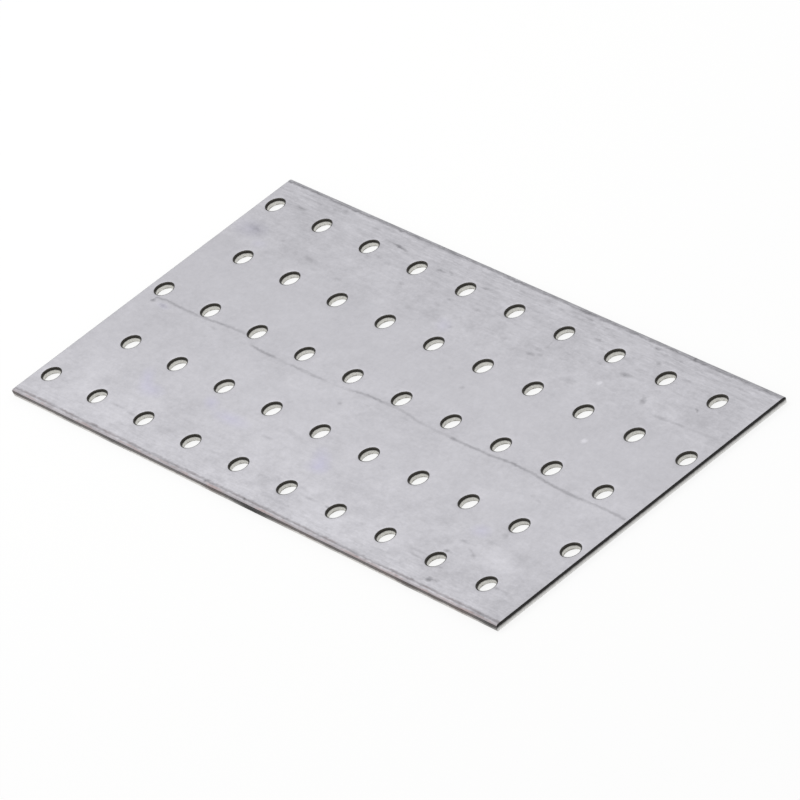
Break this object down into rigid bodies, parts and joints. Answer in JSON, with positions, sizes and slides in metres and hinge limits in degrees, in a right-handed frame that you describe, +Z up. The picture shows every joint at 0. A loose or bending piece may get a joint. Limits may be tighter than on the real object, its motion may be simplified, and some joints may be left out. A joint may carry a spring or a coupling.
{
  "type": "perforated nail plate",
  "caption": "Flat rectangular sheet-steel plate, galvanised, punched with staggered rows of round nail holes for joining timbers end to end or side by side.",
  "frame": {"origin": "middle of the plate's underside", "axes": "+X along the rows of holes, the rolling direction of the strip; +Y across the strip; +Z up out of the face that the punch entered"},
  "size_m": [0.2, 0.1, 0.002],
  "materials": {
    "galvanised_steel": "hot-dip galvanised sheet, dull, bare steel on the punched and cut walls"
  },
  "bodies": {
    "root": {"nail_plate": "galvanised_steel"}
  },
  "joints": []
}
